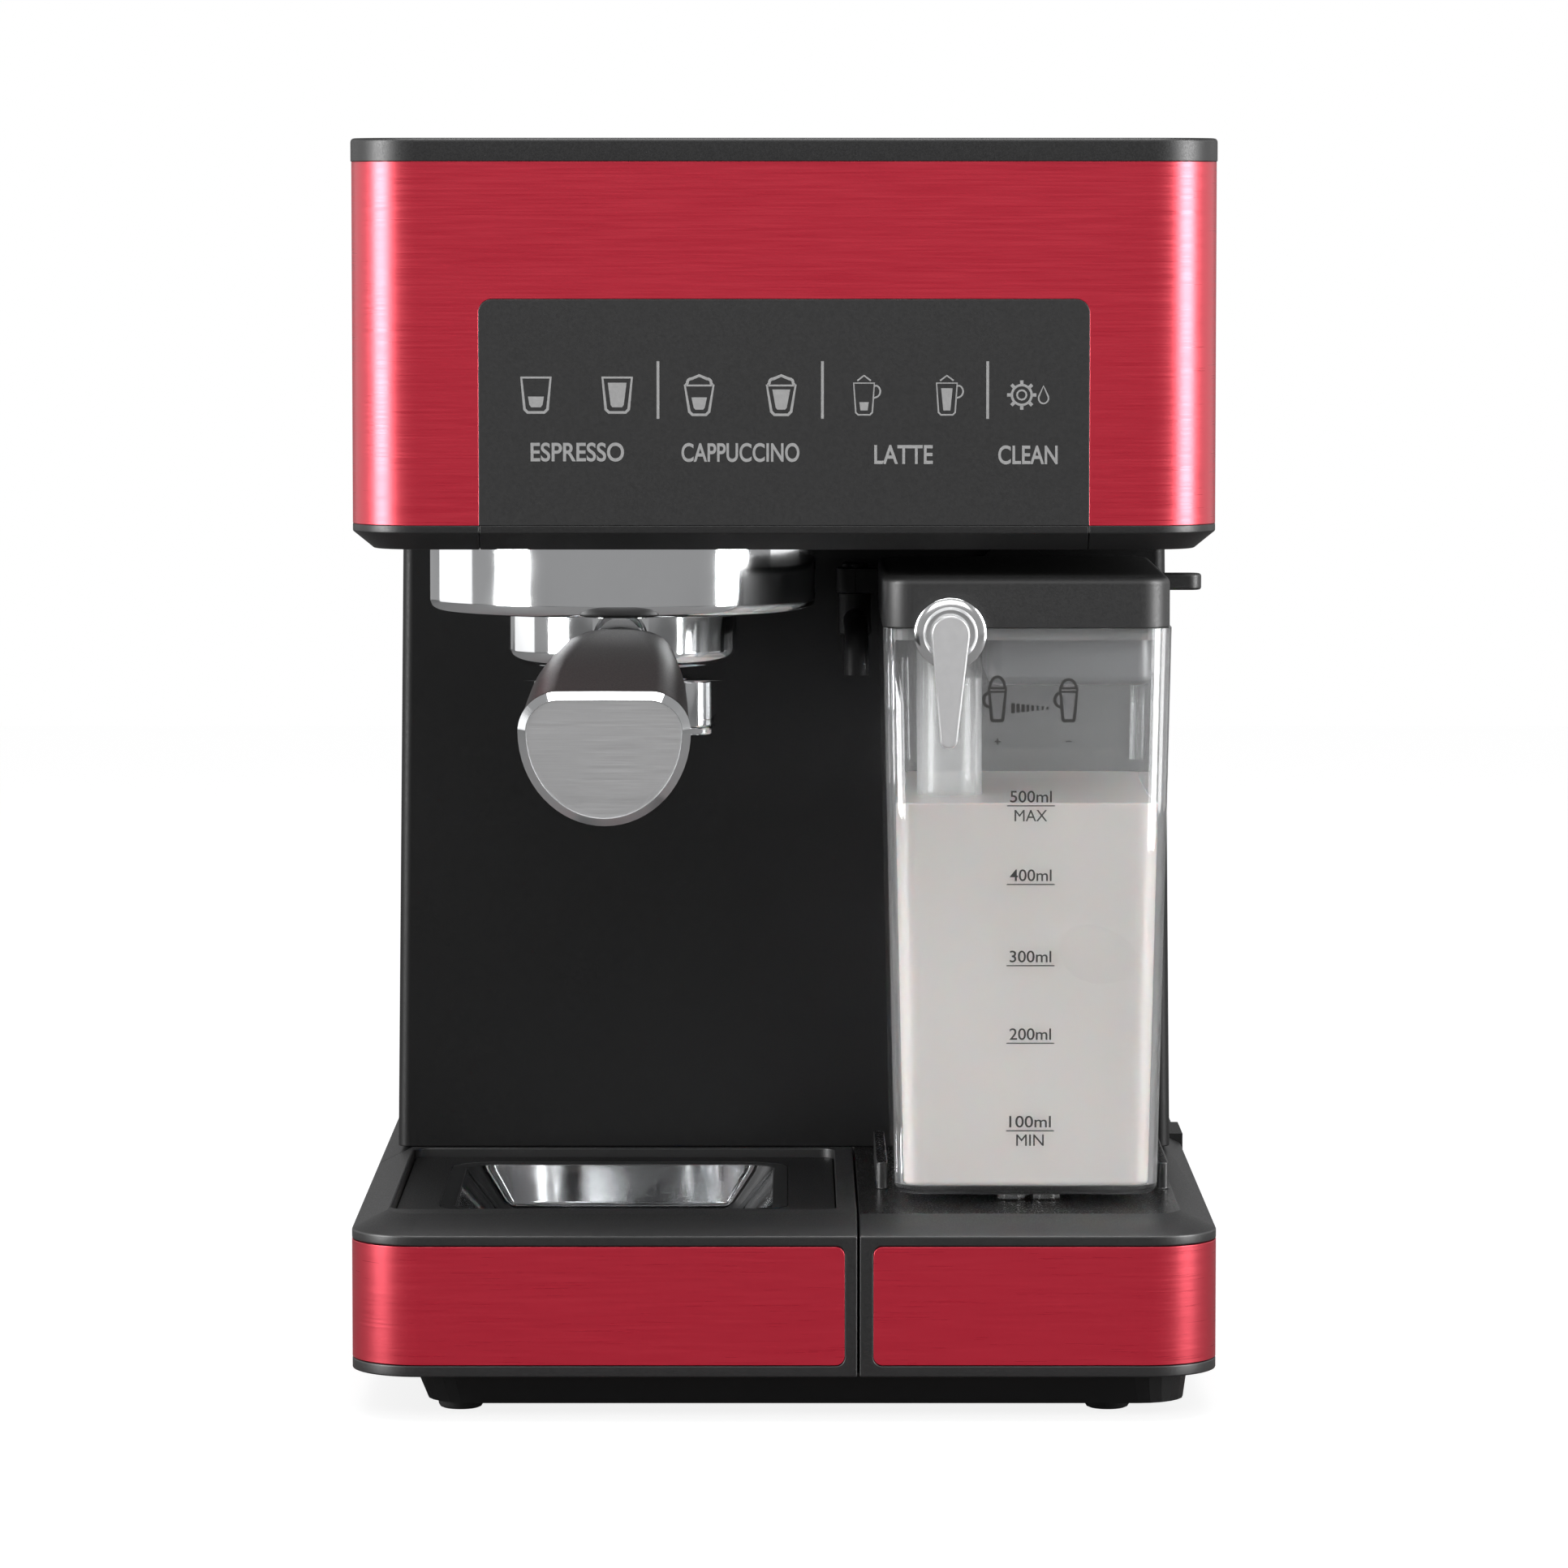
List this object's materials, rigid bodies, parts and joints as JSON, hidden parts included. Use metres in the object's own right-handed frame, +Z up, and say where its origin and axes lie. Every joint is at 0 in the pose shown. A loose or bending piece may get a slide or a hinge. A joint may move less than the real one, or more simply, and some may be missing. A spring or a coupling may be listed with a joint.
{
  "type": "espresso machine",
  "caption": "Counter-top espresso machine with touch panel, bayonet filter holder, side milk tank with frother, rear water tank and pull-out drip tray, built as separate pieces.",
  "frame": {"origin": "centre of the footprint of the whole machine, the filter holder's handle included, at the soles of the feet", "axes": "+Z up, +X to the user's right, -Y towards the user"},
  "size_m": [0.2208, 0.372, 0.3236],
  "materials": {
    "black_plastic": "satin moulded",
    "dark_plastic": "satin moulded",
    "panel_black": "satin gloss",
    "red_metal": "brushed, tinted clear coat",
    "chrome": "mirror plated",
    "steel": "brushed",
    "brushed_steel": "finely brushed",
    "clear": "clear moulded",
    "smoke": "smoke-tinted clear moulded",
    "grey_plastic": "satin moulded",
    "rubber": "matt",
    "silicone": "matt translucent",
    "aluminium": "as cast",
    "board": "solder mask",
    "brass": "turned",
    "white_plastic": "satin"
  },
  "bodies": {
    "housing": {"base_tub": "black_plastic", "bottom_pan": "dark_plastic", "rubber_feet": "rubber", "base_band": "red_metal", "base_screws": "steel", "column_housing": "black_plastic", "back_panel": "black_plastic", "case_screws": "steel", "rear_skirt": "black_plastic", "cord_gland": "rubber", "power_switch": "dark_plastic", "head_frame": "dark_plastic", "head_wrap": "red_metal", "head_bezel": "dark_plastic", "panel_chin": "dark_plastic", "control_panel": "panel_black", "top_cover": "panel_black", "touch_board": "board", "main_board": "board", "group_collar": "chrome", "brew_head": "aluminium", "group_gasket": "rubber", "shower_screen": "steel", "screen_screw": "steel", "steam_socket": "steel", "tank_seat": "dark_plastic", "pump": "steel", "pump_mounts": "rubber", "boiler": "aluminium", "thermal_fuses": "white_plastic", "solenoid_valve": "brass", "flow_meter": "white_plastic", "suction_hose": "silicone", "pressure_pipe": "white_plastic", "steam_pipe": "white_plastic"},
    "portafilter": {"portafilter_body": "chrome", "handle_ferrule": "chrome", "portafilter_handle": "black_plastic", "handle_cap": "brushed_steel", "filter_basket": "steel", "basket_spring": "steel", "double_spout": "chrome"},
    "drip_tray": {"drip_tray": "black_plastic", "drip_tray_band": "red_metal"},
    "drip_plate": {"drip_plate": "dark_plastic", "cup_dish": "chrome"},
    "milk_tank": {"milk_tank": "clear", "milk_lid": "black_plastic", "lid_gasket": "silicone", "froth_chamber": "grey_plastic", "intake_tube": "clear", "steam_coupler": "steel"},
    "froth_lever": {"froth_lever": "chrome"},
    "spout_lever": {"spout_lever": "black_plastic"},
    "milk_spout": {"milk_spout": "dark_plastic"},
    "water_tank": {"water_tank": "smoke", "tank_valve": "grey_plastic", "lid_pins": "steel"},
    "water_tank_lid": {"water_tank_lid": "panel_black"},
    "power_rocker": {"power_rocker": "black_plastic"}
  },
  "joints": [
    {"name": "portafilter_turn", "type": "hinge", "parent": "housing", "child": "portafilter", "pos_m": [-0.042, -0.0225, 0.2], "axis": [0, 0, 1], "range_deg": [-45, 0]},
    {"name": "drip_tray_slide", "type": "slide", "parent": "housing", "child": "drip_tray", "axis": [0, -1, 0], "range_m": [0, 0.145]},
    {"name": "drip_plate_lift", "type": "slide", "parent": "drip_tray", "child": "drip_plate", "axis": [0, 0, 1], "range_m": [0, 0.06]},
    {"name": "milk_tank_slide", "type": "slide", "parent": "housing", "child": "milk_tank", "axis": [0, -1, 0], "range_m": [0, 0.16]},
    {"name": "froth_lever_turn", "type": "hinge", "parent": "milk_tank", "child": "froth_lever", "pos_m": [0.0422, -0.075, 0.1983], "axis": [0, -1, 0], "range_deg": [0, 60]},
    {"name": "spout_lever_turn", "type": "hinge", "parent": "milk_tank", "child": "spout_lever", "pos_m": [0.084, -0.002, 0.2078], "axis": [0, 0, 1], "range_deg": [-45, 0]},
    {"name": "milk_spout_turn", "type": "hinge", "parent": "milk_tank", "child": "milk_spout", "pos_m": [0.019, 0.028, 0.2], "axis": [0, 0, 1], "range_deg": [-45, 0]},
    {"name": "water_tank_lift", "type": "slide", "parent": "housing", "child": "water_tank", "axis": [0, 0, 1], "range_m": [0, 0.28]},
    {"name": "water_tank_lid_turn", "type": "hinge", "parent": "water_tank", "child": "water_tank_lid", "pos_m": [0, 0.1825, 0.3206], "axis": [-1, 0, 0], "range_deg": [0, 100]},
    {"name": "power_rocker_turn", "type": "hinge", "parent": "housing", "child": "power_rocker", "pos_m": [0.1049, 0.099, 0.037], "axis": [0, -1, 0], "range_deg": [0, 14]}
  ],
  "couplings": [
    {"joint": "milk_spout_turn", "follows": "spout_lever_turn", "ratio": 1}
  ]
}
